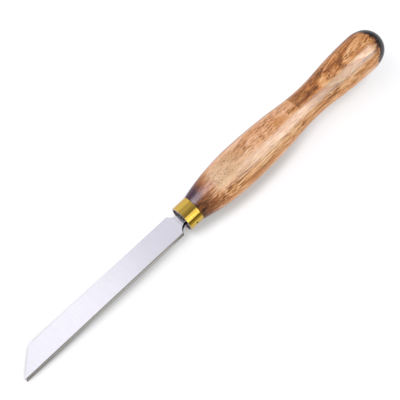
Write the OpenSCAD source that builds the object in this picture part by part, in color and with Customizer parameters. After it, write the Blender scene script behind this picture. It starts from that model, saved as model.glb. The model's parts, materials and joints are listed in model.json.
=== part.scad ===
// Fluted parting tool for a wood lathe, lying at rest on a flat bench.
// Every piece is drawn along the tool's own axis: X runs from the point to the butt with zero at
// the ferrule's mouth, Y runs from the flute edge to the back edge, and Z is the blade's thickness.
// lying() then sets the whole tool down on z = 0, with the middle of its box over the origin.

/* [Blade] */
// Height from the flute edge to the back edge
blade_h = 19; // [14:0.5:20]
// Thickness at the flute edge
flute_edge_t = 5; // [4:0.1:7]
// Thickness at the back edge
back_edge_t = 2.8; // [1.5:0.1:3.5]
// Length that shows in front of the ferrule
blade_l = 160; // [100:1:220]
// Angle of the ground end, measured from the flute edge
grind_angle = 46; // [35:1:70]
// Depth of the hollow ground along the flute edge
flute_depth = 1.2; // [0.3:0.1:1.4]
// Flat land left on each side of the flute
flute_land = 0.6; // [0.2:0.1:1]
// Broken corners along the back edge
back_break = 0.3; // [0.1:0.1:0.5]

/* [Neck and tang] */
// Radius of the two hollow shoulders that run into the ferrule
shoulder_r = 7; // [6:0.5:10]
// Length of neck between the ground sides and the ferrule
neck_l = 3.5; // [2:0.5:5]
// Step down from the ground sides to the neck
neck_step = 0.15; // [0.1:0.05:0.3]
// Tang width where it enters the ferrule
tang_w = 9; // [7:0.2:9.6]
// Tang width at its tip
tang_tip_w = 5; // [4:0.2:6]
// Largest tang thickness
tang_t = 4.4; // [3:0.1:4.6]
// Tang thickness at its tip
tang_tip_t = 2.4; // [1.5:0.1:2.8]
// Tang length from the ferrule's mouth to its tip
tang_l = 50; // [45:1:70]

/* [Ferrule] */
// Outside diameter of the tube
ferrule_od = 21; // [20:0.5:24]
// Length of the tube
ferrule_l = 12.6; // [10:0.2:20]
// Wall of the tube
ferrule_wall = 1.2; // [0.8:0.1:1.6]
// Broken edges at both ends of the tube
ferrule_break = 0.3; // [0.1:0.1:0.4]
// Radius of the punch mark that stakes the ferrule to the wood
punch_r = 0.7; // [0.4:0.1:0.8]
// How far the punched metal stands into the wood
punch_grip = 0.3; // [0.1:0.1:0.5]

/* [Handle] */
// Diameter of the belly
belly_d = 33.2; // [30:0.2:38]
// Distance from the ferrule to the thickest part of the belly
belly_at = 48; // [40:0.5:55]
// Diameter of the waist
waist_d = 25.2; // [22:0.2:27]
// Distance from the ferrule to the thinnest part of the waist
waist_at = 119.5; // [112:0.5:128]
// Diameter of the knob at the butt
knob_d = 32; // [31.4:0.2:35]
// Distance from the ferrule to the thickest part of the knob
knob_at = 178; // [170:0.5:190]
// Distance from the thickest part of the knob to the end of the handle
butt_run = 19.2; // [17:0.2:24]
// Radius of the rounded end
butt_r = 15.2; // [13:0.1:15.6]
// Share of the curve from belly to waist that bulges, the rest being hollow
bulge_share = 0.73; // [0.65:0.01:0.8]
// Depth of the tenon's end inside the ferrule's mouth
tenon_recess = 1.2; // [0.4:0.2:2.5]
// Lead-in chamfer on the tenon
tenon_break = 0.6; // [0.2:0.1:1]

/* [Tang hole] */
// Least thickness of epoxy at the tang's corners
glue_gap = 0.15; // [0.1:0.05:0.4]
// Depth of the wide drilling from the ferrule's mouth
wide_hole_l = 30; // [20:1:35]
// Empty length left past the tang's tip
hole_spare = 4; // [2:0.5:8]
// How far the epoxy stops short of the tenon's end
glue_recess = 0.6; // [0.2:0.1:1.2]

/* [Hidden] */
$fn = 96;
steel = [0.82, 0.84, 0.88];
brass = [0.83, 0.67, 0.24];
wood = [0.74, 0.50, 0.31];
cured_epoxy = [0.36, 0.25, 0.14];

// Ground end: how far the back edge's corner lies behind the point
grind_run = blade_h / tan(grind_angle);

// Flute: a round hollow with this chord between the two lands
flute_chord = flute_edge_t - 2 * flute_land;
flute_r = (pow(flute_chord / 2, 2) + pow(flute_depth, 2)) / (2 * flute_depth);

// Handle radii, and the butt's place along the axis
ferrule_r = ferrule_od / 2;
tenon_r = ferrule_r - ferrule_wall;
belly_r = belly_d / 2;
waist_r = waist_d / 2;
knob_r = knob_d / 2;
handle_l = knob_at + butt_run;
butt_x = ferrule_l + handle_l;

// Two arcs that meet tangent, one at the top of a swelling and one at the bottom of a hollow, have
// radii that add up to this sum for a given distance and difference in height
function arc_sum(run, rise) = (run * run + rise * rise) / (2 * rise);

// Turned profile: the arc radii that follow from the diameters and their places
front_arc_r = arc_sum(belly_at, belly_r - ferrule_r);
belly_arc_r = bulge_share * arc_sum(waist_at - belly_at, belly_r - waist_r);
waist_arc_r = (1 - bulge_share) * arc_sum(waist_at - belly_at, belly_r - waist_r);
knob_arc_r = arc_sum(knob_at - waist_at, knob_r - waist_r) - waist_arc_r;
butt_arc_r = (butt_run * butt_run + knob_r * knob_r - 2 * butt_run * butt_r) / (2 * (knob_r - butt_r));

// Places along the handle where one arc runs into the next
belly_end = belly_at + bulge_share * (waist_at - belly_at);
waist_end = waist_at + (knob_at - waist_at) * waist_arc_r / (waist_arc_r + knob_arc_r);
butt_start = knob_at + (butt_run - butt_r) * butt_arc_r / (butt_arc_r - butt_r);

// Radius under a swelling arc with its top at top_at, and over a hollow arc with its bottom at low_at
function swelling_r(x, top_at, top_r, arc_r) = top_r - arc_r + sqrt(arc_r * arc_r - pow(x - top_at, 2));
function hollow_r(x, low_at, low_r, arc_r) = low_r + arc_r - sqrt(arc_r * arc_r - pow(x - low_at, 2));

// Handle's radius at a distance x from the ferrule
function grip_r(x) =
    x < belly_at ? swelling_r(x, belly_at, belly_r, front_arc_r) :
    x < belly_end ? swelling_r(x, belly_at, belly_r, belly_arc_r) :
    x < waist_end ? hollow_r(x, waist_at, waist_r, waist_arc_r) :
    x < knob_at ? swelling_r(x, knob_at, knob_r, knob_arc_r) :
    x < butt_start ? swelling_r(x, knob_at, knob_r, butt_arc_r) :
    x < handle_l ? swelling_r(x, handle_l - butt_r, butt_r, butt_r) : 0;

function grip_point(x) = [grip_r(x), ferrule_l + x];

// Steps along the grip, and steps of angle round the butt
grip_steps = 60;
butt_step = 6;

// Blade's half thickness at height y above its middle line
function half_t(y) = (flute_edge_t + back_edge_t) / 4 - y * (flute_edge_t - back_edge_t) / (2 * blade_h);

// Radius that clears the tang's corners at a distance x inside the ferrule's mouth
function tang_clear_r(x) =
    norm([tang_w + (tang_tip_w - tang_w) * x / tang_l, tang_t + (tang_tip_t - tang_t) * x / tang_l]) / 2
    + glue_gap;

// Tang hole: a wide drilling, then a narrow one with a drill point
wide_hole_r = tang_clear_r(0);
deep_hole_r = tang_clear_r(wide_hole_l);
hole_end = tang_l + hole_spare;
drill_point_l = deep_hole_r * tan(31);

// At rest the tool stands on both lower corners of its ground end and on the handle's belly.
// Pitch lifts the butt and roll lowers the back edge, and each follows from the other.
corner_run = (blade_h - back_break) / tan(grind_angle);
corner_rise = flute_edge_t / 2 - half_t(blade_h / 2 - back_break);
point_to_belly = blade_l + ferrule_l + belly_at;

function roll_for(pitch) =
    asin(-corner_run * tan(pitch) / norm([blade_h - back_break, corner_rise]))
    - atan2(corner_rise, blade_h - back_break);

function arc_to_point(roll) = front_arc_r - belly_r + blade_h / 2 * sin(roll) + flute_edge_t / 2 * cos(roll);

function pitch_for(roll) =
    asin(front_arc_r / norm([point_to_belly, arc_to_point(roll)])) - atan2(arc_to_point(roll), point_to_belly);

function settled(pitch, steps) = steps == 0 ? pitch : settled(pitch_for(roll_for(pitch)), steps - 1);

rest_pitch = settled(0, 20);
rest_roll = roll_for(rest_pitch);

// Where the handle's round starts: 20 degrees from straight down, so that a meshed copy of it meets
// the bench with a flat and not with a corner
round_start = -20 - rest_roll;

// Height of the point's two corners above the axis once the tool is rolled, and the box's ends
low_corner_z = -blade_h / 2 * sin(rest_roll) - flute_edge_t / 2 * cos(rest_roll);
high_corner_z = -blade_h / 2 * sin(rest_roll) + flute_edge_t / 2 * cos(rest_roll);
rest_z = blade_l * sin(rest_pitch) - low_corner_z * cos(rest_pitch);
point_end = -blade_l * cos(rest_pitch) - high_corner_z * sin(rest_pitch);
butt_end = (butt_x - butt_r) * cos(rest_pitch) + butt_r;

module lying() {
    translate([-(point_end + butt_end) / 2, 0, rest_z])
        rotate([rest_roll, -rest_pitch, 0])
            children();
}

// Rod along the axis from one place to another
module rod(from, to, r) {
    translate([from, 0, 0]) rotate([0, 90, 0]) cylinder(h = to - from, r = r);
}

// Side view of the blade: ground end, straight edges, hollow shoulders and tapered tang
module blade_outline() {
    difference() {
        polygon([
            [-blade_l, -blade_h / 2],
            [-blade_l + grind_run, blade_h / 2],
            [0, blade_h / 2],
            [0, tang_w / 2],
            [tang_l, tang_tip_w / 2],
            [tang_l, -tang_tip_w / 2],
            [0, -tang_w / 2],
            [0, -blade_h / 2],
        ]);
        for (side = [-1, 1])
            translate([0, side * (tang_w / 2 + shoulder_r)]) circle(r = shoulder_r);
    }
}

// End view of the ground bar, taken in on both sides by an inset
module taper_section(inset) {
    half = blade_h / 2;
    shoulder = half - back_break;
    polygon([
        [-half, inset - half_t(-half)],
        [shoulder, inset - half_t(shoulder)],
        [half, inset + back_break - half_t(half)],
        [half, half_t(half) - back_break - inset],
        [shoulder, half_t(shoulder) - inset],
        [-half, half_t(-half) - inset],
    ]);
}

module taper_bar(from, to, inset) {
    translate([from, 0, 0])
        rotate([90, 0, 90])
            linear_extrude(height = to - from)
                taper_section(inset);
}

// Tang's two flats, drawn in towards its tip
module tang_flats() {
    rotate([90, 0, 0])
        linear_extrude(height = blade_h, center = true)
            polygon([
                [-neck_l, -tang_t / 2],
                [tang_l, -tang_tip_t / 2],
                [tang_l, tang_tip_t / 2],
                [-neck_l, tang_t / 2],
            ]);
}

module bar_thickness() {
    taper_bar(-blade_l, -neck_l, 0);
    intersection() {
        taper_bar(-neck_l, tang_l, neck_step);
        tang_flats();
    }
}

module flute() {
    translate([0, -blade_h / 2 + flute_depth - flute_r, 0]) rod(-blade_l - 1, 1, flute_r);
}

module blade_solid() {
    difference() {
        intersection() {
            linear_extrude(height = 2 * flute_edge_t, center = true) blade_outline();
            bar_thickness();
        }
        flute();
    }
}

// Punch mark's place: half way along the ferrule, in line with the flute edge
module at_punch() {
    translate([ferrule_l / 2, -ferrule_r, 0]) children();
}

module punched_metal() {
    at_punch() sphere(r = ferrule_wall + punch_grip);
}

// Tube whose bore leaves the punched metal standing
module ferrule_solid() {
    difference() {
        rotate([0, 90, 0])
            rotate_extrude()
                polygon([
                    [0, 0],
                    [ferrule_r - ferrule_break, 0],
                    [ferrule_r, ferrule_break],
                    [ferrule_r, ferrule_l - ferrule_break],
                    [ferrule_r - ferrule_break, ferrule_l],
                    [0, ferrule_l],
                ]);
        difference() {
            rod(-1, ferrule_l + 1, tenon_r);
            punched_metal();
        }
        at_punch() sphere(r = punch_r);
    }
}

// Turned profile from the tenon's end to the butt, drawn as radius against place along the axis
module handle_profile() {
    tenon = [
        [0, tenon_recess],
        [tenon_r - tenon_break, tenon_recess],
        [tenon_r, tenon_recess + tenon_break],
        [tenon_r, ferrule_l],
    ];
    grip = [for (i = [0:grip_steps]) grip_point(knob_at * i / grip_steps)];
    butt = [for (a = [butt_step:butt_step:90]) grip_point(knob_at + butt_run * sin(a))];
    polygon(concat(tenon, grip, butt));
}

module tang_hole(from) {
    rod(from, wide_hole_l, wide_hole_r);
    rod(wide_hole_l, hole_end, deep_hole_r);
    translate([hole_end, 0, 0]) rotate([0, 90, 0]) cylinder(h = drill_point_l, r1 = deep_hole_r, r2 = 0);
}

module blade() {
    color(steel) lying() blade_solid();
}

module ferrule() {
    color(brass) lying() ferrule_solid();
}

module handle() {
    color(wood) lying() difference() {
        rotate([round_start, 0, 0]) rotate([0, 90, 0]) rotate_extrude() handle_profile();
        tang_hole(tenon_recess - 1);
        punched_metal();
    }
}

module tang_epoxy() {
    color(cured_epoxy) lying() difference() {
        tang_hole(tenon_recess + glue_recess);
        blade_solid();
    }
}

blade();
ferrule();
handle();
tang_epoxy();
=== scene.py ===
# Looks of a fluted parting tool that lies on a pale floor: a ground steel blade, a polished brass
# ferrule and a lacquered hardwood handle with charred ends. Shapes are drawn in the tool's own frame,
# in millimetres: X runs from the point to the butt with zero at the ferrule's mouth, Y runs from the
# flute edge to the back edge, and Z is the blade's thickness.
import json
import math
from collections import namedtuple

import bpy
from mathutils import Matrix, Vector


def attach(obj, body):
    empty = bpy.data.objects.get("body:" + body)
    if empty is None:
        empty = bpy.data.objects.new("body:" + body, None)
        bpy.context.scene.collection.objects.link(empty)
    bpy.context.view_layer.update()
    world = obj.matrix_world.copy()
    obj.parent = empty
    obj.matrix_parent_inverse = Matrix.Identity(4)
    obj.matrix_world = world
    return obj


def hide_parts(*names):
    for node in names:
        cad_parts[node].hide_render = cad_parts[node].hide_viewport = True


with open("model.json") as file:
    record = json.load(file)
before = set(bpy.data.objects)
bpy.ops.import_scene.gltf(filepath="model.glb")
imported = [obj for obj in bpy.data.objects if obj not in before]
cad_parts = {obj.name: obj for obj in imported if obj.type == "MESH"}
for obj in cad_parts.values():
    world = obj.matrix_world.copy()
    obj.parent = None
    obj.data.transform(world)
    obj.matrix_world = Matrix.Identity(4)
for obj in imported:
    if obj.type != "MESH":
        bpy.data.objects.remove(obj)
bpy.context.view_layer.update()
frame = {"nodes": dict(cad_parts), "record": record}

MM = 0.001
SHARP_ANGLE = math.radians(35)

# Blade
BLADE_L = 160.0
BLADE_H = 19.0
FLUTE_EDGE_T = 5.0
BACK_EDGE_T = 2.8
GRIND_ANGLE = math.radians(46)
FLUTE_DEPTH = 1.2
FLUTE_LAND = 0.6
BACK_BREAK = 0.3
EDGE_BREAK = 0.12
SHOULDER_R = 7.0
NECK_L = 3.5
NECK_STEP = 0.15
TANG_W = 9.0
TANG_TIP_W = 5.0
TANG_T = 4.4
TANG_TIP_T = 2.4
TANG_L = 50.0
TANG_BREAK = 0.1

# Ferrule
FERRULE_R = 10.5
FERRULE_L = 12.6
FERRULE_WALL = 1.2
FERRULE_BREAK = 0.3
FERRULE_LIP = 0.15
BORE_R = FERRULE_R - FERRULE_WALL
PUNCH_AT = FERRULE_L / 2
PUNCH_TURN = 180
PUNCH_R = 0.7
PUNCH_DEPTH = 0.6
BURR_R = 1.35 * PUNCH_R
BURR_W = 0.18
BURR_H = 0.05

# Handle
BELLY_R = 16.6
BELLY_AT = 48.0
WAIST_R = 12.6
WAIST_AT = 119.5
KNOB_R = 16.0
KNOB_AT = 178.0
BUTT_RUN = 19.2
BUTT_R = 15.2
BULGE_SHARE = 0.73
TENON_R = BORE_R
TENON_GAP = 0.02
TENON_RECESS = 1.2
TENON_BREAK = 0.6
HANDLE_L = KNOB_AT + BUTT_RUN

# Tang hole
GLUE_GAP = 0.15
HOLE_SPARE = 4.0
WIDE_HOLE_L = 30.0
HOLE_END = TANG_L + HOLE_SPARE
DRILL_POINT_SLOPE = math.radians(31)


def between(first, last, share):
    return first + (last - first) * share


def steps_between(first, last, steps):
    """Evenly spaced values from first to last, with both ends."""
    return [between(first, last, i / steps) for i in range(steps + 1)]


def tang_clear_r(x):
    """Radius that clears the tang's corners at a distance x inside the ferrule's mouth."""
    share = x / TANG_L
    width = between(TANG_W, TANG_TIP_W, share)
    thickness = between(TANG_T, TANG_TIP_T, share)
    return math.hypot(width, thickness) / 2 + GLUE_GAP


WIDE_HOLE_R = tang_clear_r(0)
DEEP_HOLE_R = tang_clear_r(WIDE_HOLE_L)
DRILL_POINT_L = DEEP_HOLE_R * math.tan(DRILL_POINT_SLOPE)


# The tool's own frame, read from the record's mounts

def tool_frame():
    mounts = {mount["name"]: mount for mount in frame["record"]["mounts"]}
    seat = mounts["ferrule_seat"]
    along = -Vector(seat["axis"]).normalized()
    across = -Vector(mounts["tool_rest_land"]["axis"]).normalized()
    through = along.cross(across)
    mouth = Vector(seat["pos_m"]) - along * FERRULE_L / 2 * MM
    turn = Matrix((along, across, through)).transposed()
    return turn, mouth


TOOL_TURN, TOOL_MOUTH = tool_frame()


def tool_point(x, y, z):
    return TOOL_MOUTH + TOOL_TURN @ (Vector((x, y, z)) * MM)


# Meshes

def add_piece(name, points, faces, node):
    """Makes a piece from points in the tool's frame, in place of a node of the frame."""
    mesh = bpy.data.meshes.new(name)
    mesh.from_pydata([tool_point(*point) for point in points], [], faces)
    mesh.validate()
    mesh.shade_smooth()
    mesh.set_sharp_from_angle(angle=SHARP_ANGLE)
    piece = bpy.data.objects.new(name, mesh)
    bpy.context.scene.collection.objects.link(piece)
    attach(piece, "root")
    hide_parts(node)
    return piece


def ring_faces(rings, size, closed=False):
    """Quads between neighbouring rings of points, each ring with the same number of points.

    They look out of the solid if its outer rings follow each other along +X and run from +Y to -Z.
    """
    faces = []
    pairs = rings if closed else rings - 1
    for ring in range(pairs):
        here = ring * size
        there = (ring + 1) % rings * size
        for step in range(size):
            after = (step + 1) % size
            faces.append((here + step, there + step, there + after, here + after))
    return faces


def arc_sum(run, rise):
    """Sum of the radii of two tangent arcs that join a top to a bottom over a run and a rise."""
    return (run * run + rise * rise) / (2 * rise)


def swelling(x, top_at, top_r, arc_r):
    return top_r - arc_r + math.sqrt(arc_r ** 2 - (x - top_at) ** 2)


def hollow(x, low_at, low_r, arc_r):
    return low_r + arc_r - math.sqrt(arc_r ** 2 - (x - low_at) ** 2)


def grip_radius(x):
    """Handle's radius at a distance x behind the ferrule."""
    front_arc = arc_sum(BELLY_AT, BELLY_R - FERRULE_R)
    belly_to_waist = arc_sum(WAIST_AT - BELLY_AT, BELLY_R - WAIST_R)
    belly_arc = BULGE_SHARE * belly_to_waist
    waist_arc = belly_to_waist - belly_arc
    knob_arc = arc_sum(KNOB_AT - WAIST_AT, KNOB_R - WAIST_R) - waist_arc
    butt_arc = (BUTT_RUN ** 2 + KNOB_R ** 2 - 2 * BUTT_RUN * BUTT_R) / (2 * (KNOB_R - BUTT_R))
    belly_end = between(BELLY_AT, WAIST_AT, BULGE_SHARE)
    waist_end = between(WAIST_AT, KNOB_AT, waist_arc / (waist_arc + knob_arc))
    butt_start = KNOB_AT + (BUTT_RUN - BUTT_R) * butt_arc / (butt_arc - BUTT_R)
    if x < BELLY_AT:
        return swelling(x, BELLY_AT, BELLY_R, front_arc)
    if x < belly_end:
        return swelling(x, BELLY_AT, BELLY_R, belly_arc)
    if x < waist_end:
        return hollow(x, WAIST_AT, WAIST_R, waist_arc)
    if x < KNOB_AT:
        return swelling(x, KNOB_AT, KNOB_R, knob_arc)
    if x < butt_start:
        return swelling(x, KNOB_AT, KNOB_R, butt_arc)
    return swelling(x, HANDLE_L - BUTT_R, BUTT_R, BUTT_R)


def handle_profile():
    """Place and radius from the drill point inside the tang hole, round the tenon, to the butt."""
    grip_steps = 220
    butt_steps = 40
    hole = [(HOLE_END, DEEP_HOLE_R), (WIDE_HOLE_L, DEEP_HOLE_R), (WIDE_HOLE_L, WIDE_HOLE_R)]
    tenon = [
        (TENON_RECESS, WIDE_HOLE_R),
        (TENON_RECESS, TENON_R - TENON_BREAK),
        (TENON_RECESS + TENON_BREAK, TENON_R - TENON_GAP),
        (FERRULE_L, TENON_R - TENON_GAP),
    ]
    grip = steps_between(0, KNOB_AT, grip_steps)
    turns = steps_between(0, math.pi / 2, butt_steps)[1:-1]
    butt = [KNOB_AT + BUTT_RUN * math.sin(turn) for turn in turns]
    return hole + tenon + [(FERRULE_L + x, grip_radius(x)) for x in grip + butt]


def make_handle():
    profile = handle_profile()
    size = 192
    points = []
    for x, r in profile:
        for step in range(size):
            angle = -2 * math.pi * step / size
            points.append((x, r * math.cos(angle), r * math.sin(angle)))
    faces = ring_faces(len(profile), size)
    inner_pole = len(points)
    butt_pole = inner_pole + 1
    points.append((HOLE_END + DRILL_POINT_L, 0, 0))
    points.append((FERRULE_L + HANDLE_L, 0, 0))
    last = (len(profile) - 1) * size
    for step in range(size):
        after = (step + 1) % size
        faces.append((inner_pole, step, after))
        faces.append((butt_pole, last + after, last + step))
    return add_piece("wood_handle", points, faces, "handle")


def spread(low, high, step, focus, reach, fine):
    """Places from low to high, close together within reach of a focus and a step apart elsewhere."""
    places = [low]
    while places[-1] < high - fine / 2:
        near = abs(places[-1] + fine / 2 - focus) < reach
        places.append(min(high, places[-1] + (fine if near else step)))
    return places


def punch_depth(distance):
    """Depth of the punch mark at a distance from its middle, with a raised burr round it."""
    burr = BURR_H * math.exp(-((distance - BURR_R) / BURR_W) ** 2)
    if distance > PUNCH_R:
        return -burr
    return PUNCH_DEPTH * math.cos(math.pi / 2 * distance / PUNCH_R) - burr


def ferrule_profile():
    """Place and radius along the outside from the mouth, and back along the bore."""
    bend_steps = 5
    front = []
    for bend in steps_between(0, math.pi / 2, bend_steps):
        x = FERRULE_BREAK * (1 - math.sin(bend))
        front.append((x, FERRULE_R - FERRULE_BREAK * (1 - math.cos(bend))))
    wall_end = FERRULE_L - FERRULE_BREAK
    places = spread(FERRULE_BREAK, wall_end, step=0.6, focus=PUNCH_AT, reach=1.5, fine=0.1)
    wall = [(x, FERRULE_R) for x in places]
    back = [(FERRULE_L - x, r) for x, r in front]
    inside = [(FERRULE_L, BORE_R), (FERRULE_LIP, BORE_R), (0, BORE_R + FERRULE_LIP)]
    return front[::-1] + wall[1:-1] + back + inside


def make_ferrule():
    profile = ferrule_profile()
    turns = spread(0, 360, step=3, focus=PUNCH_TURN, reach=9, fine=0.5)[:-1]
    points = []
    for x, r in profile:
        for turn in turns:
            angle = -math.radians(turn)
            depth = 0
            if r == FERRULE_R:
                arc = FERRULE_R * math.radians(turn - PUNCH_TURN)
                depth = punch_depth(math.hypot(x - PUNCH_AT, arc))
            points.append((x, (r - depth) * math.cos(angle), (r - depth) * math.sin(angle)))
    faces = ring_faces(len(profile), len(turns), closed=True)
    return add_piece("brass_ferrule", points, faces, "ferrule")


def bar_half(y):
    """Half the bar's thickness at a height y above its middle line."""
    return (FLUTE_EDGE_T + BACK_EDGE_T) / 4 - y * (FLUTE_EDGE_T - BACK_EDGE_T) / (2 * BLADE_H)


def tang_half(x):
    """Half the thickness of neck and tang at a place x, as a function of the height y."""
    share = (x + NECK_L) / (TANG_L + NECK_L)
    flat = between(TANG_T, TANG_TIP_T, share) / 2
    return lambda y: min(bar_half(y) - NECK_STEP, flat)


def flute_floor(z):
    """Height of the flute edge at a place z across it: two lands with a round hollow between."""
    chord = FLUTE_EDGE_T / 2 - FLUTE_LAND
    if abs(z) >= chord:
        return -BLADE_H / 2
    flute_r = (chord ** 2 + FLUTE_DEPTH ** 2) / (2 * FLUTE_DEPTH)
    return -BLADE_H / 2 + FLUTE_DEPTH - flute_r + math.sqrt(flute_r ** 2 - z * z)


def blade_section(x, edge, lean, half_at, back_break):
    """Ring of points round the blade at one place along it, from -edge to edge in height.

    Lean slants the section like the ground end, and half_at gives half its thickness at a height.
    """
    face_steps = 10
    hollow_steps = 14
    side = [(y, half_at(y)) for y in steps_between(EDGE_BREAK - edge, edge - back_break, face_steps)]
    top = half_at(edge) - back_break
    back = [(edge, top), (edge, -top)]
    far_side = [(y, -z) for y, z in reversed(side)]
    half = half_at(-edge)
    land = half - EDGE_BREAK
    chord = half * (1 - 2 * FLUTE_LAND / FLUTE_EDGE_T)
    turns = steps_between(0, math.pi, hollow_steps)
    across = [-land] + [-chord * math.cos(turn) for turn in turns] + [land]
    flute = [(max(-edge, flute_floor(z)), z) for z in across]
    slant = lean / math.tan(GRIND_ANGLE)
    return [(x + slant * (y + BLADE_H / 2), y, z) for y, z in side + back + far_side + flute]


def shoulder_section(turn, half_at):
    """Section at a turn round the shoulders' radius, where a quarter turn is the neck."""
    edge = TANG_W / 2 + SHOULDER_R * (1 - math.sin(turn))
    return blade_section(-SHOULDER_R * math.cos(turn), edge, 0, half_at, TANG_BREAK)


def blade_sections():
    """Sections from the ground end along the bar, round the shoulders and to the end of the tang."""
    bar_steps = 12
    shoulder_steps = 9
    tang_steps = 6
    start = math.asin(1 - (BLADE_H - TANG_W) / (2 * SHOULDER_R))
    step_start = math.acos(NECK_L / SHOULDER_R)
    step_end = math.acos((NECK_L - NECK_STEP) / SHOULDER_R)
    sections = []
    for share in steps_between(0, 1, bar_steps):
        x = between(-BLADE_L, -SHOULDER_R * math.cos(start), share)
        sections.append(blade_section(x, BLADE_H / 2, 1 - share, bar_half, BACK_BREAK))
    for turn in steps_between(start, step_start, shoulder_steps)[1:]:
        sections.append(shoulder_section(turn, bar_half))
    for turn in steps_between(step_end, math.pi / 2, shoulder_steps):
        sections.append(shoulder_section(turn, tang_half(0)))
    for share in steps_between(0, 1, tang_steps)[1:]:
        x = TANG_L * share
        edge = between(TANG_W, TANG_TIP_W, share) / 2
        sections.append(blade_section(x, edge, 0, tang_half(x), TANG_BREAK))
    return sections


def make_blade():
    sections = blade_sections()
    size = len(sections[0])
    points = [point for section in sections for point in section]
    faces = ring_faces(len(sections), size)
    faces.append(tuple(range(size)))
    faces.append(tuple(range(len(points) - 1, len(points) - size - 1, -1)))
    return add_piece("steel_blade", points, faces, "blade")


# Materials

def colour(red, green, blue):
    """Linear colour of an 8-bit screen colour."""
    def linear(level):
        share = level / 255
        return share / 12.92 if share <= 0.04045 else ((share + 0.055) / 1.055) ** 2.4
    return (linear(red), linear(green), linear(blue), 1.0)


class Finish:
    """A material, with short ways to write its node tree."""

    def __init__(self, name):
        self.material = bpy.data.materials.new(name)
        self.material.use_nodes = True
        self.nodes = self.material.node_tree.nodes
        self.links = self.material.node_tree.links
        self.shader = self.nodes["Principled BSDF"]

    def put(self, socket, value):
        if isinstance(value, bpy.types.NodeSocket):
            self.links.new(value, socket)
        else:
            socket.default_value = value

    def add(self, kind, inputs=(), **settings):
        node = self.nodes.new(kind)
        for name, value in settings.items():
            setattr(node, name, value)
        for place, value in dict(inputs).items():
            self.put(node.inputs[place], value)
        return node

    def set(self, **inputs):
        """Sets the shader's inputs, whose names are written here in small letters with underlines."""
        for name, value in inputs.items():
            title = name.replace("_", " ").title().replace("Ior", "IOR")
            self.put(self.shader.inputs[title], value)

    def math(self, operation, a, b=0.0, c=0.0):
        return self.add("ShaderNodeMath", {0: a, 1: b, 2: c}, operation=operation).outputs[0]

    def times(self, a, b):
        return self.math("MULTIPLY", a, b)

    def add_times(self, a, b, onto):
        return self.math("MULTIPLY_ADD", a, b, onto)

    def sway(self, value, weight, onto):
        """Adds a weighted 0 to 1 pattern to a value, evenly up and down."""
        return self.add_times(self.math("SUBTRACT", value, 0.5), weight, onto)

    def length(self, a, b):
        return self.math("SQRT", self.add_times(a, a, self.times(b, b)))

    def span(self, value, low, high):
        """0 at low and 1 at high, with soft ends."""
        inputs = {"Value": value, "From Min": low, "From Max": high}
        return self.add("ShaderNodeMapRange", inputs, interpolation_type="SMOOTHSTEP").outputs[0]

    def level(self, value, low, high):
        """Low where the value is 0 and high where it is 1."""
        return self.add("ShaderNodeMapRange", {"Value": value, "To Min": low, "To Max": high}).outputs[0]

    def mix(self, share, a, b, blend_type="MIX"):
        inputs = {0: share, 6: a, 7: b}
        return self.add("ShaderNodeMix", inputs, data_type="RGBA", blend_type=blend_type).outputs[2]

    def tint(self, share, tone, by):
        return self.mix(share, tone, by, blend_type="MULTIPLY")

    def ramp(self, value, stops):
        node = self.add("ShaderNodeValToRGB", {"Fac": value})
        points = node.color_ramp.elements
        while len(points) < len(stops):
            points.new(1.0)
        for point, (place, tone) in zip(points, stops):
            point.position = place
            point.color = tone
        return node.outputs["Color"]

    def bump(self, height, depth):
        return self.add("ShaderNodeBump", {"Height": height, "Distance": depth * MM}).outputs[0]


class ToolFinish(Finish):
    """A finish that is drawn in the tool's own frame, in millimetres."""

    def __init__(self, name):
        super().__init__(name)
        inputs = {
            "Vector": self.add("ShaderNodeTexCoord").outputs["Object"], "Location": TOOL_MOUTH,
            "Rotation": TOOL_TURN.to_euler(), "Scale": (MM, MM, MM),
        }
        self.place = self.add("ShaderNodeMapping", inputs, vector_type="TEXTURE").outputs[0]
        self.x, self.y, self.z = self.add("ShaderNodeSeparateXYZ", {0: self.place}).outputs

    def noise(self, fineness, detail, roughness=0.5, place=None):
        """Noise with about this many waves in a millimetre along X, Y and Z."""
        inputs = {0: place or self.place, 1: fineness}
        stretched = self.add("ShaderNodeVectorMath", inputs, operation="MULTIPLY").outputs[0]
        inputs = {"Vector": stretched, "Scale": 1.0, "Detail": detail, "Roughness": roughness}
        return self.add("ShaderNodeTexNoise", inputs).outputs["Fac"]

    def toward(self, side):
        """How far a place lies from the axis towards a side, in degrees from Z towards the flute edge."""
        turn = math.radians(side)
        return self.add_times(self.y, -math.sin(turn), self.times(self.z, math.cos(turn)))

    def facing(self, side):
        """Cosine of the angle round the axis from a side."""
        return self.math("DIVIDE", self.toward(side), self.length(self.y, self.z))


# Steel: lines that were ground across the blade, a darker flute edge that is a painted reflection of the
# shaded floor, and black in the hollow of the shoulders
FINE_LINES = (5.0, 0.05, 0.05)
BROAD_LINES = (1.5, 0.06, 0.06)
BROAD_SHARE = 0.4
LINE_SLANT = 0.16
LINE_DEPTH = 0.0006
STEEL_TONES = [(0.36, colour(174, 173, 174)), (0.64, colour(183, 182, 183))]
STEEL_ROUGHNESS = (0.22, 0.28)
# The flute edge's darker tone is a painted reflection of the shaded floor beside the blade.
FLUTE_SHADE_TONE = colour(153, 150, 146)
FLUTE_TONE_INSET = (0.05, 0.25)
FLUTE_TONE_MARGIN = 0.1
# Black in the hollow of the two shoulders, and how far from their arc it reaches.
SHOULDER_BLACK_TONE = colour(46, 42, 42)
SHOULDER_BLACK_REACH = (0.22, 0.08)


def flute_edge(finish):
    """1 on the flute edge of the blade."""
    outer, inner = (FLUTE_EDGE_T / 2 - inset for inset in FLUTE_TONE_INSET)
    inside = finish.span(finish.math("ABSOLUTE", finish.z), outer, inner)
    top = FLUTE_DEPTH - BLADE_H / 2 + FLUTE_TONE_MARGIN
    return finish.times(inside, finish.math("LESS_THAN", finish.y, top))


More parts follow.
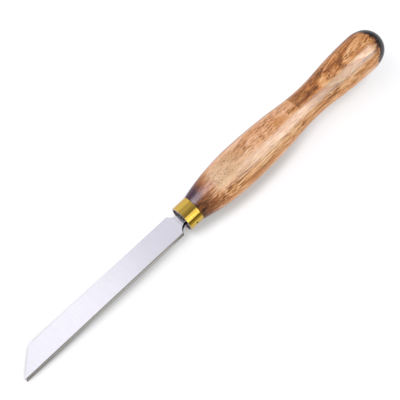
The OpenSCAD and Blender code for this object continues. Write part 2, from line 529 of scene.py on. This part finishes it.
def shoulder_hollow(finish):
    """1 in the hollow of the two shoulders."""
    across = finish.math("SUBTRACT", finish.math("ABSOLUTE", finish.y), TANG_W / 2 + SHOULDER_R)
    far, near = (SHOULDER_R + reach for reach in SHOULDER_BLACK_REACH)
    return finish.span(finish.length(finish.x, across), far, near)


def steel():
    """Bright steel with grinding lines across the blade."""
    finish = ToolFinish("ground_steel")
    aslant = finish.add_times(finish.y, LINE_SLANT, finish.x)
    slanted = finish.add("ShaderNodeCombineXYZ", {0: aslant, 1: finish.y, 2: finish.z}).outputs[0]
    fine = finish.noise(FINE_LINES, detail=3.0, place=slanted)
    broad = finish.noise(BROAD_LINES, detail=1.0, place=slanted)
    lines = finish.add_times(broad, BROAD_SHARE, finish.times(fine, 1 - BROAD_SHARE))
    tone = finish.ramp(lines, STEEL_TONES)
    # Painted reflection of shade: the flute edge is darkened.
    tone = finish.mix(flute_edge(finish), tone, FLUTE_SHADE_TONE)
    # Black in the hollow of the two shoulders.
    tone = finish.mix(shoulder_hollow(finish), tone, SHOULDER_BLACK_TONE)
    finish.set(base_color=tone, metallic=1.0, roughness=finish.level(lines, *STEEL_ROUGHNESS))
    finish.set(normal=finish.bump(fine, LINE_DEPTH))
    return finish.material


# Brass: hair lines round the tube, dark lines along it that are painted reflections, a grey-lilac cut end
# and bore that are a painted reflection, and a dark punch mark.
# Each painted reflection line has a side of the tube, in degrees from Z towards the flute edge, and a
# strength.
HAIR_LINES = (9.0, 0.15, 0.15)
HAIR_DEPTH = 0.0004
BRASS_TONES = [(0.3, colour(194, 160, 64)), (0.7, colour(206, 174, 82))]
BRASS_ROUGHNESS = (0.11, 0.17)
TARNISH = (0.35, 0.35, 0.35)
TARNISH_SPAN = (0.5, 0.9)
TARNISH_TONE = colour(186, 144, 58)
PAINTED_REFLECTION_LINES = [(65.0, 0.90), (16.0, 0.35), (-4.0, 0.20), (128.0, 0.40), (196.0, 0.60), (251.0, 0.45)]
REFLECTION_LINE_SPAN = (0.984, 0.998)
REFLECTION_LINE_TINT = (0.36, 0.30, 0.12, 1.0)
# The cut end and the bore are painted grey-lilac, a painted reflection of the pale room.
CUT_END = (0.25, 0.10)
CUT_BORE = (FERRULE_R - 0.5, FERRULE_R - 0.7)
CUT_END_REFLECTION_TONE = colour(168, 160, 166)
# Dark colour in the punch mark, and how far from its middle it reaches.
PUNCH_DARK_REACH = (1.5 * PUNCH_R, PUNCH_R)
PUNCH_DARK_TONE = colour(48, 34, 14)


def punched(finish):
    """1 in the punch mark, which is on the flute edge's side of the tube."""
    middle = finish.math("SUBTRACT", finish.x, PUNCH_AT)
    near = finish.span(finish.length(middle, finish.z), *PUNCH_DARK_REACH)
    return finish.times(near, finish.math("LESS_THAN", finish.y, 0.0))


def brass():
    """Polished brass tube."""
    finish = ToolFinish("polished_brass")
    hairs = finish.noise(HAIR_LINES, detail=3.0)
    tarnish = finish.span(finish.noise(TARNISH, detail=3.0), *TARNISH_SPAN)
    tone = finish.mix(tarnish, finish.ramp(hairs, BRASS_TONES), TARNISH_TONE)
    # Painted reflections: darker lines along the tube at fixed sides.
    for side, strength in PAINTED_REFLECTION_LINES:
        line = finish.span(finish.facing(side), *REFLECTION_LINE_SPAN)
        tone = finish.tint(finish.times(line, strength), tone, REFLECTION_LINE_TINT)
    # Painted reflection: grey-lilac on the cut end and in the bore.
    bore = finish.span(finish.length(finish.y, finish.z), *CUT_BORE)
    cut = finish.math("MAXIMUM", finish.span(finish.x, *CUT_END), bore)
    tone = finish.mix(cut, tone, CUT_END_REFLECTION_TONE)
    # Dark colour in the punch mark.
    tone = finish.mix(punched(finish), tone, PUNCH_DARK_TONE)
    finish.set(base_color=tone, metallic=1.0, roughness=finish.level(hairs, *BRASS_ROUGHNESS))
    finish.set(normal=finish.bump(hairs, HAIR_DEPTH))
    return finish.material


# Wood. A tone is 0 in the palest wood and 1 in the darkest.
WOOD_TONES = [
    (0.00, colour(240, 206, 176)),
    (0.25, colour(229, 178, 132)),
    (0.50, colour(207, 142, 80)),
    (0.75, colour(164, 98, 34)),
    (1.00, colour(104, 58, 16)),
]

# Growth rings. They are close to flat: they face one side of the handle, climb by the tilt along it, and
# are pale or dark at these depths.
RING_FACING = 13.5
RING_TILT = 0.08
RING_TONES = [
    (-16.0, 0.45), (-8.0, 0.55), (0.0, 0.40), (7.0, 0.55), (9.0, 0.42), (11.5, 0.60), (14.0, 0.45),
    (18.0, 0.46), (21.2, 0.42), (22.4, 0.64), (23.3, 0.62), (23.8, 0.16), (24.6, 0.42), (26.4, 0.44),
    (27.4, 0.76), (28.0, 0.10), (28.8, 0.48), (30.0, 0.60), (32.0, 0.46),
]
MIDDLE_TONE = 0.40
RING_WEIGHT = 0.80

# Lines along the grain: waves in a millimetre along and across the handle, their weight on the patch that
# they belong to, and a weight that is added everywhere. The weight of those that move a place, which are
# the rings' wander and ripple, the licks and the rags, is in millimetres.
Lines = namedtuple("Lines", "along across weight everywhere", defaults=[0.0])
RING_WANDER = Lines(0.03, 0.10, 1.2)
RING_RIPPLE = Lines(0.12, 0.80, 1.0)
LONG_STREAKS = Lines(0.006, 0.95, 0.60)
THIN_STREAKS = Lines(0.030, 2.20, 0.65, 0.15)
FIBRES = Lines(0.200, 2.40, 0.24)
MOTTLE = Lines(0.035, 0.14, 0.32)
FRONT_STREAKS = Lines(0.012, 1.10, 0.50)
STAIN_STREAKS = Lines(0.040, 0.70, 0.30)
EMBERS = Lines(0.018, 0.80, 0.65)
PORES = Lines(0.20, 1.70, 0.66)
PORE_CLOUDS = Lines(0.05, 0.12, 0.75, 0.25)
LICKS = Lines(0.05, 0.90, 16.0)
RAGS = Lines(0.15, 0.30, 11.0)
STREAK_SPAN = (0.34, 0.66)
PORE_SPAN = (0.52, 0.63)
PORE_CLOUD_SPAN = (0.40, 0.58)
FEWEST_PORES = 0.2
PORE_DEPTH = 0.02

# Patches of the handle: the side they face, in degrees from Z towards the flute edge, the cosines of the
# angle from there at which they begin and are full, and the stretch that they take up. A stretch begins,
# is full, fades and ends at these lengths behind the ferrule.
Patch = namedtuple("Patch", "side begins full stretch", defaults=[None])
STAIN_LINE = (106.4, 107.4)
FLECKED = Patch(-6.0, 0.78, 0.96)
STREAKY = Patch(63.5, 0.90, 0.985)
HONEY = Patch(63.5, 0.86, 0.98)
# A painted highlight: a paler band where the lacquer's highlight falls.
PAINTED_SHINE = Patch(55.0, 0.97, 0.995, (40.0, 52.0, 98.0, 110.0))
STAINED = Patch(-11.5, 0.74, 0.92, (*STAIN_LINE, 148.0, 180.0))
FAR_STAINED = Patch(-30.0, 0.87, 0.96, (*STAIN_LINE, 180.0, 192.0))
STAIN_EDGE = Patch(-11.5, 0.72, 0.90, (*STAIN_LINE, 107.6, 120.0))
AMBER = Patch(-11.5, 0.30, 0.90, (104.0, 110.0, 186.0, 196.0))
# Painted shade: a darker streak along the side where the lacquer's highlight falls.
PAINTED_SHADE_STREAK = Patch(39.5, 0.94, 0.99)
# Painted shade and reflection: a dark, bluish rim along the far edge.
PAINTED_EDGE_SHADE = Patch(-72.0, 0.80, 0.97)
PALE = Patch(5.0, 0.70, 0.95, (14.0, 24.0, 34.0, 62.0))

# How much darker each makes the tone. The streaky side's front begins and is full at these lengths.
STREAKY_DARKER = 0.08
STREAKY_FRONT = (60.0, 15.0)
FRONT_DARKER = 0.14
PAINTED_SHINE_DARKER = -0.13
STAIN_DARKER = 0.23
STAINED_PORES_DARKER = 0.25

# Tints over the tone. The painted shade under the highlight has a share, more of it along a stretch, and
# less at its front.
HONEY_TINT = (1.0, 0.94, 0.74, 1.0)
AMBER_TINT = (1.0, 0.95, 0.74, 1.0)
PAINTED_EDGE_SHADE_TINT = (0.52, 0.56, 0.74, 1.0)
PAINTED_SHADE_STREAK_TINT = (0.31, 0.23, 0.09, 1.0)
PAINTED_SHADE_STREAK_SHARE = 0.48
DARKEST_SHADE_STRETCH = (104.0, 130.0, 158.0, 170.0)
DARKEST_SHADE_MORE = 0.30
PAINTED_SHADE_STREAK_FRONT = (52.0, 30.0)
SHADE_FRONT_MORE = -0.38

# Marks: the sharp front edge of the stain, and a pale patch with dots
STAIN_EDGE_TONE = colour(96, 72, 54)
STAIN_EDGE_SHARE = 0.28
PALE_TONE = colour(212, 186, 146)
PALE_SHARE = 0.5
DOTS = (0.9, 0.9, 0.9)
DOT_SPAN = (0.60, 0.68)
DOT_TONE = colour(120, 84, 50)
DOT_SHARE = 0.85

# Scorch at the ferrule. Its licks are longer on the flute edge's side, where Y is below zero.
LONG_LICK_SIDE = (2.0, -8.0)
LONG_LICK_MORE = 24.0
SCORCH_SLANT = -0.20
BROWNED_REACH = (24.0, 12.0)
BROWNED_SHARE = 0.85
BROWNED_TONE = colour(132, 72, 24)
SCORCH_REACH = (15.0, 5.0)
SCORCH_SIDES = (-4.0, 6.0)
NEAR_SCORCH_TONE = colour(48, 20, 0)
# The far side's purple is scorch with a painted lilac reflection in it.
FAR_SCORCH_AND_SHEEN_TONE = colour(66, 34, 48)
EMBER_SIDE = (3.0, -6.0)
EMBER_REACH = (26.0, 14.0)
EMBER_TONE = colour(152, 84, 14)

# Char at the butt. It reaches least far forward on one side, and further away from there.
LEAST_CHARRED_SIDE = 16.5
CHAR_MORE = 8.5
CHAR_EDGE_REACH = (185.0, 188.0)
CHAR_EDGE_TONE = colour(106, 56, 26)
CHAR_REACH = (187.6, 188.8)
CHAR_TONE = colour(20, 18, 19)


class HandleFinish(ToolFinish):
    """A finish with lines and patches at places on the handle."""

    def __init__(self, name):
        super().__init__(name)
        self.behind = self.math("SUBTRACT", self.x, FERRULE_L)

    def stretch(self, start, full, fade, end):
        """1 along a stretch of the handle, 0 before its start and past its end."""
        return self.times(self.span(self.behind, start, full), self.span(self.behind, end, fade))

    def patch(self, patch):
        """1 on a patch of the handle and 0 elsewhere."""
        side = self.span(self.facing(patch.side), patch.begins, patch.full)
        return self.times(side, self.stretch(*patch.stretch)) if patch.stretch else side

    def line_noise(self, lines, detail=3.0, roughness=0.6):
        return self.noise((lines.along, lines.across, lines.across), detail, roughness)

    def streaks(self, lines):
        """Long soft lines along the grain, from 0 to 1."""
        return self.span(self.line_noise(lines), *STREAK_SPAN)

    def streaked(self, tone, lines, where=1.0):
        """Tone with streaks over it, where a patch says."""
        weight = self.add_times(where, lines.weight, lines.everywhere)
        return self.sway(self.streaks(lines), weight, tone)


def ring_depth(finish):
    """How deep a place lies across the growth rings, with their slow wander and small ripples."""
    depth = finish.add_times(finish.behind, RING_TILT, finish.toward(RING_FACING))
    wander = finish.line_noise(RING_WANDER, detail=3.0, roughness=0.5)
    ripple = finish.line_noise(RING_RIPPLE, detail=2.0, roughness=0.5)
    depth = finish.sway(wander, RING_WANDER.weight, depth)
    return finish.sway(ripple, RING_RIPPLE.weight, depth)


def ring_tone(finish):
    """Tone of the growth rings alone."""
    low = RING_TONES[0][0]
    high = RING_TONES[-1][0]
    share = finish.math("DIVIDE", finish.math("SUBTRACT", ring_depth(finish), low), high - low)
    stops = [((place - low) / (high - low), (tone, tone, tone, 1.0)) for place, tone in RING_TONES]
    return finish.ramp(share, stops)


def flecks(finish):
    """Short dark pores along the grain, thicker on one side and in some clouds than elsewhere."""
    dashes = finish.span(finish.line_noise(PORES, detail=1.5, roughness=0.5), *PORE_SPAN)
    clouds = finish.span(finish.line_noise(PORE_CLOUDS, detail=2.0, roughness=0.5), *PORE_CLOUD_SPAN)
    clouds = finish.add_times(clouds, PORE_CLOUDS.weight, PORE_CLOUDS.everywhere)
    thick = finish.math("MAXIMUM", finish.times(clouds, finish.patch(FLECKED)), FEWEST_PORES)
    return finish.times(dashes, thick)


def wood_tone(finish, pores):
    """Tone of the wood: rings, streaks, fibres, pores, the stained stretch, and a paler band that is a
    painted highlight.
    """
    streaky = finish.patch(STREAKY)
    front = finish.times(streaky, finish.span(finish.behind, *STREAKY_FRONT))
    stain = finish.math("MAXIMUM", finish.patch(STAINED), finish.patch(FAR_STAINED))
    tone = finish.sway(ring_tone(finish), RING_WEIGHT, MIDDLE_TONE)
    tone = finish.streaked(tone, LONG_STREAKS, streaky)
    tone = finish.streaked(tone, THIN_STREAKS, streaky)
    tone = finish.streaked(tone, FIBRES)
    tone = finish.streaked(tone, MOTTLE)
    tone = finish.streaked(tone, FRONT_STREAKS, front)
    tone = finish.streaked(tone, STAIN_STREAKS, stain)
    tone = finish.add_times(streaky, STREAKY_DARKER, tone)
    tone = finish.add_times(front, FRONT_DARKER, tone)
    # Painted highlight: paler wood along the band where the highlight falls.
    tone = finish.add_times(finish.patch(PAINTED_SHINE), PAINTED_SHINE_DARKER, tone)
    tone = finish.add_times(stain, STAIN_DARKER, tone)
    return finish.add_times(pores, finish.add_times(stain, STAINED_PORES_DARKER, PORES.weight), tone)


def tinted(finish, body):
    """Wood with its warmer sides, the stain's edge, painted shade under the highlight, and a painted
    shaded rim on the far edge.
    """
    body = finish.tint(finish.patch(HONEY), body, HONEY_TINT)
    body = finish.tint(finish.patch(AMBER), body, AMBER_TINT)
    # Painted shade under the highlight, more of it along one stretch and less at the front.
    share = finish.add_times(finish.stretch(*DARKEST_SHADE_STRETCH), DARKEST_SHADE_MORE, PAINTED_SHADE_STREAK_SHARE)
    share = finish.add_times(finish.span(finish.behind, *PAINTED_SHADE_STREAK_FRONT), SHADE_FRONT_MORE, share)
    body = finish.tint(finish.times(finish.patch(PAINTED_SHADE_STREAK), share), body, PAINTED_SHADE_STREAK_TINT)
    edge = finish.times(finish.patch(STAIN_EDGE), STAIN_EDGE_SHARE)
    body = finish.mix(edge, body, STAIN_EDGE_TONE)
    # Painted shade and reflection: the far edge darkened and tinted blue.
    return finish.tint(finish.patch(PAINTED_EDGE_SHADE), body, PAINTED_EDGE_SHADE_TINT)


def pale_patch(finish, body):
    """Wood with a pale, dotted patch behind the scorch."""
    pale = finish.patch(PALE)
    body = finish.mix(finish.times(pale, PALE_SHARE), body, PALE_TONE)
    dots = finish.times(pale, finish.span(finish.noise(DOTS, detail=1.0), *DOT_SPAN))
    return finish.mix(finish.times(dots, DOT_SHARE), body, DOT_TONE)


def scorched(finish, body):
    """Wood that was browned and scorched at the ferrule, with lighter embers on the near side and a
    purple far side that is partly a painted lilac reflection.
    """
    weight = finish.add_times(finish.span(finish.y, *LONG_LICK_SIDE), LONG_LICK_MORE, LICKS.weight)
    reach = finish.sway(finish.line_noise(LICKS), weight, finish.behind)
    reach = finish.add_times(finish.y, SCORCH_SLANT, reach)
    browned = finish.times(finish.span(reach, *BROWNED_REACH), BROWNED_SHARE)
    body = finish.mix(browned, body, BROWNED_TONE)
    # Scorch, with a painted lilac reflection on the far side.
    scorch = finish.mix(finish.span(finish.y, *SCORCH_SIDES), NEAR_SCORCH_TONE, FAR_SCORCH_AND_SHEEN_TONE)
    body = finish.mix(finish.span(reach, *SCORCH_REACH), body, scorch)
    embers = finish.times(finish.streaks(EMBERS), finish.span(finish.y, *EMBER_SIDE))
    embers = finish.times(embers, finish.span(reach, *EMBER_REACH))
    return finish.mix(finish.times(embers, EMBERS.weight), body, EMBER_TONE)


def charred(finish, body):
    """Wood that was charred black at the butt, with a ragged brown edge."""
    away = finish.math("SUBTRACT", 1.0, finish.math("MAXIMUM", finish.facing(LEAST_CHARRED_SIDE), 0.0))
    reach = finish.sway(finish.line_noise(RAGS, detail=4.0), RAGS.weight, finish.behind)
    reach = finish.add_times(away, CHAR_MORE, reach)
    body = finish.mix(finish.span(reach, *CHAR_EDGE_REACH), body, CHAR_EDGE_TONE)
    return finish.mix(finish.span(reach, *CHAR_REACH), body, CHAR_TONE)


def wood():
    """Turned hardwood under gloss lacquer, scorched at the ferrule and charred at the butt."""
    finish = HandleFinish("lacquered_hardwood")
    pores = flecks(finish)
    body = finish.ramp(wood_tone(finish, pores), WOOD_TONES)
    for mark in (tinted, pale_patch, scorched, charred):
        body = mark(finish, body)
    finish.set(base_color=body, roughness=0.5, specular_ior_level=0.0)
    finish.set(coat_weight=1.0, coat_roughness=0.32, coat_ior=1.4)
    finish.set(normal=finish.bump(pores, -PORE_DEPTH))
    return finish.material


# Epoxy: amber to brown, with clouds in it
EPOXY_CLOUDS = (0.8, 0.8, 0.8)
EPOXY_TONES = [(0.3, colour(60, 40, 24)), (0.7, colour(104, 72, 42))]


def epoxy():
    """Cured epoxy."""
    finish = ToolFinish("cured_epoxy")
    tone = finish.ramp(finish.noise(EPOXY_CLOUDS, detail=3.0), EPOXY_TONES)
    finish.set(base_color=tone, roughness=0.2)
    return finish.material


# Floor and room. Each shade of the floor has its reach in millimetres, the shares of open sky at which it
# is darkest and at which it ends, and its darkest level.
FLOOR_REACH = 3.0
FLOOR_TONE = colour(250, 250, 251)
FLOOR_LIT = 0.28
FLOOR_GLOW = 0.77
FLOOR_SHADES = [(16.0, 0.45, 0.84, 0.52), (4.5, 0.50, 1.0, 0.72)]
DIM_SIDE = (0.30, 0.29, 0.27, 1.0)
BRIGHT_SIDE = (0.84, 0.84, 1.02, 1.0)
BRIGHT_SIDE_SPAN = (-0.5, 0.25)
BUTT_SIDE_SHARE = 0.25
BUTT_SIDE_SPAN = (0.45, 0.9)

# Lamps: direction from the tool, distance, width along X and height in metres, brightness, and the tint
# of those that have one
KEY = ((-0.20, 0.24, 0.95), 1.2, 0.40, 0.66, 7.0)
FILL = ((0.15, -0.95, 0.28), 1.3, 1.0, 0.7, 2.9)
TIP_CARD = ((-0.16, 0.65, 0.74), 1.1, 0.37, 0.5, 1.55)
BLADE_CARD = ((0.17, 0.65, 0.74), 1.1, 0.22, 0.5, 0.95)
BRASS_CARD = ((0.0, -0.79, 0.61), 1.0, 0.45, 0.90, 1.4)
BRASS_PEAK_CARD = ((0.0, -0.84, 0.54), 1.0, 0.45, 0.22, 1.0)
BRASS_FAR_CARD = ((0.0, 0.93, 0.37), 1.0, 0.6, 0.80, 0.33)
LACQUER_TINT = (0.97, 1.0, 0.98)
LACQUER_CARD = ((0.52, -0.62, 0.70), 1.0, 0.42, 0.85, 18.5, LACQUER_TINT)
DIM_LACQUER_CARD = ((0.12, -0.65, 0.74), 1.0, 0.40, 0.85, 6.5, LACQUER_TINT)
SCORCH_CARD = ((-0.36, 0.40, 0.84), 1.2, 0.24, 1.00, 22.0, (0.82, 0.80, 1.0))

# Camera: place in the tool's frame, and its right and up directions there
CAMERA_AT = (-136.91, -353.83, 706.76)
CAMERA_RIGHT = (0.71893, -0.67188, -0.17810)
CAMERA_UP = (0.66724, 0.59529, 0.44769)
SENSOR_WIDTH = 36.0
FOCAL_LENGTH = 98.31
FAR_CLIP = 20.0


def floor_shade(finish, reach, low, high, darkest):
    """1 in the open and the darkest level close to the object."""
    open_sky = finish.add("ShaderNodeAmbientOcclusion", {"Distance": reach * MM}).outputs["AO"]
    return finish.add_times(finish.span(open_sky, low, high), 1 - darkest, darkest)


def white_floor():
    """White that keeps the object's shadow. Seen directly or in a reflection, part of it glows."""
    finish = Finish("white_floor")
    finish.set(base_color=FLOOR_TONE, roughness=0.9, specular_ior_level=0.0)
    rays = finish.add("ShaderNodeLightPath").outputs
    seen = finish.math("MAXIMUM", rays["Is Camera Ray"], rays["Is Glossy Ray"])
    seen = finish.math("MAXIMUM", seen, rays["Is Transmission Ray"])
    lit = finish.add("ShaderNodeBsdfDiffuse", {"Color": (FLOOR_LIT, FLOOR_LIT, FLOOR_LIT, 1)}).outputs[0]
    strength = FLOOR_GLOW
    for shade in FLOOR_SHADES:
        strength = finish.times(floor_shade(finish, *shade), strength)
    glow = finish.add("ShaderNodeEmission", {"Color": (1, 1, 1, 1), "Strength": strength}).outputs[0]
    shown = finish.add("ShaderNodeAddShader", {0: lit, 1: glow}).outputs[0]
    inputs = {0: seen, 1: finish.shader.outputs[0], 2: shown}
    blend = finish.add("ShaderNodeMixShader", inputs).outputs[0]
    finish.links.new(blend, finish.nodes["Material Output"].inputs["Surface"])
    return finish.material


def make_floor():
    mesh = bpy.data.meshes.new("floor")
    corners = [(-1, -1), (1, -1), (1, 1), (-1, 1)]
    mesh.from_pydata([(x * FLOOR_REACH, y * FLOOR_REACH, 0) for x, y in corners], [], [(0, 1, 2, 3)])
    mesh.materials.append(white_floor())
    floor = bpy.data.objects.new("floor", mesh)
    bpy.context.scene.collection.objects.link(floor)


def make_world():
    """Room that is bright on the far side of the tool, and dim on the camera's side and past the butt."""
    world = bpy.data.worlds.new("studio")
    world.use_nodes = True
    nodes = world.node_tree.nodes
    links = world.node_tree.links
    direction = nodes.new("ShaderNodeTexCoord").outputs["Generated"]
    split = nodes.new("ShaderNodeSeparateXYZ")
    links.new(direction, split.inputs[0])

    def turn_towards(axis, low, high, first, last):
        node = nodes.new("ShaderNodeMapRange")
        node.interpolation_type = "SMOOTHSTEP"
        links.new(split.outputs[axis], node.inputs["Value"])
        for name, value in (("From Min", low), ("From Max", high), ("To Min", first), ("To Max", last)):
            node.inputs[name].default_value = value
        return node.outputs[0]

    sides = nodes.new("ShaderNodeMix")
    sides.data_type = "RGBA"
    links.new(turn_towards("Y", *BRIGHT_SIDE_SPAN, 0.0, 1.0), sides.inputs[0])
    sides.inputs[6].default_value = DIM_SIDE
    sides.inputs[7].default_value = BRIGHT_SIDE
    background = nodes["Background"]
    links.new(sides.outputs[2], background.inputs["Color"])
    links.new(turn_towards("X", *BUTT_SIDE_SPAN, 1.0, BUTT_SIDE_SHARE), background.inputs["Strength"])
    bpy.context.scene.world = world


def softbox(name, toward, distance, width, height, brightness, tint=(1, 1, 1)):
    """Area lamp, as wide along X as stated, that looks as bright as a white card of that brightness."""
    lamp = bpy.data.lights.new(name, "AREA")
    lamp.shape = "RECTANGLE"
    lamp.size = width
    lamp.size_y = height
    lamp.color = tint
    lamp.energy = brightness * math.pi * width * height
    box = bpy.data.objects.new(name, lamp)
    bpy.context.scene.collection.objects.link(box)
    away = Vector(toward).normalized()
    across = Vector((1, 0, 0))
    across = (across - away * away.x).normalized()
    turn = Matrix((across, away.cross(across), away)).transposed()
    box.matrix_world = Matrix.Translation(away * distance) @ turn.to_4x4()
    return box


def plain_lamp(name, values):
    """Softbox that lights the object and does not show in its reflections."""
    softbox(name, *values).visible_glossy = False


def card(name, values, *pieces):
    """Softbox that only these pieces show, as a reflection."""
    box = softbox(name, *values)
    box.visible_diffuse = False
    seen_by = bpy.data.collections.new(name + "_seen_by")
    for piece in pieces:
        seen_by.objects.link(piece)
    box.light_linking.receiver_collection = seen_by


def make_lights(blade, ferrule, handle):
    """A soft key high on the far side, a low fill, and cards for the reflections."""
    plain_lamp("key_softbox", KEY)
    plain_lamp("fill_softbox", FILL)
    card("tip_card", TIP_CARD, blade)
    card("blade_card", BLADE_CARD, blade)
    card("brass_card", BRASS_CARD, blade, ferrule)
    card("brass_peak_card", BRASS_PEAK_CARD, ferrule)
    card("brass_far_card", BRASS_FAR_CARD, ferrule)
    card("lacquer_card", LACQUER_CARD, handle)
    card("dim_lacquer_card", DIM_LACQUER_CARD, handle)
    card("scorch_card", SCORCH_CARD, handle)


def make_camera():
    lens = bpy.data.cameras.new("camera")
    lens.sensor_width = SENSOR_WIDTH
    lens.lens = FOCAL_LENGTH
    lens.clip_end = FAR_CLIP
    camera = bpy.data.objects.new("camera", lens)
    bpy.context.scene.collection.objects.link(camera)
    right = (TOOL_TURN @ Vector(CAMERA_RIGHT)).normalized()
    up = TOOL_TURN @ Vector(CAMERA_UP)
    up = (up - right * up.dot(right)).normalized()
    turn = Matrix((right, up, right.cross(up))).transposed()
    camera.matrix_world = Matrix.Translation(tool_point(*CAMERA_AT)) @ turn.to_4x4()
    bpy.context.scene.camera = camera


make_camera()
make_floor()
make_world()

steel_blade = make_blade()
steel_blade.data.materials.append(steel())
brass_ferrule = make_ferrule()
brass_ferrule.data.materials.append(brass())
wood_handle = make_handle()
wood_handle.data.materials.append(wood())
make_lights(steel_blade, brass_ferrule, wood_handle)
frame["nodes"]["tang_epoxy"].material_slots[0].material = epoxy()

bpy.context.scene.view_settings.view_transform = "Standard"
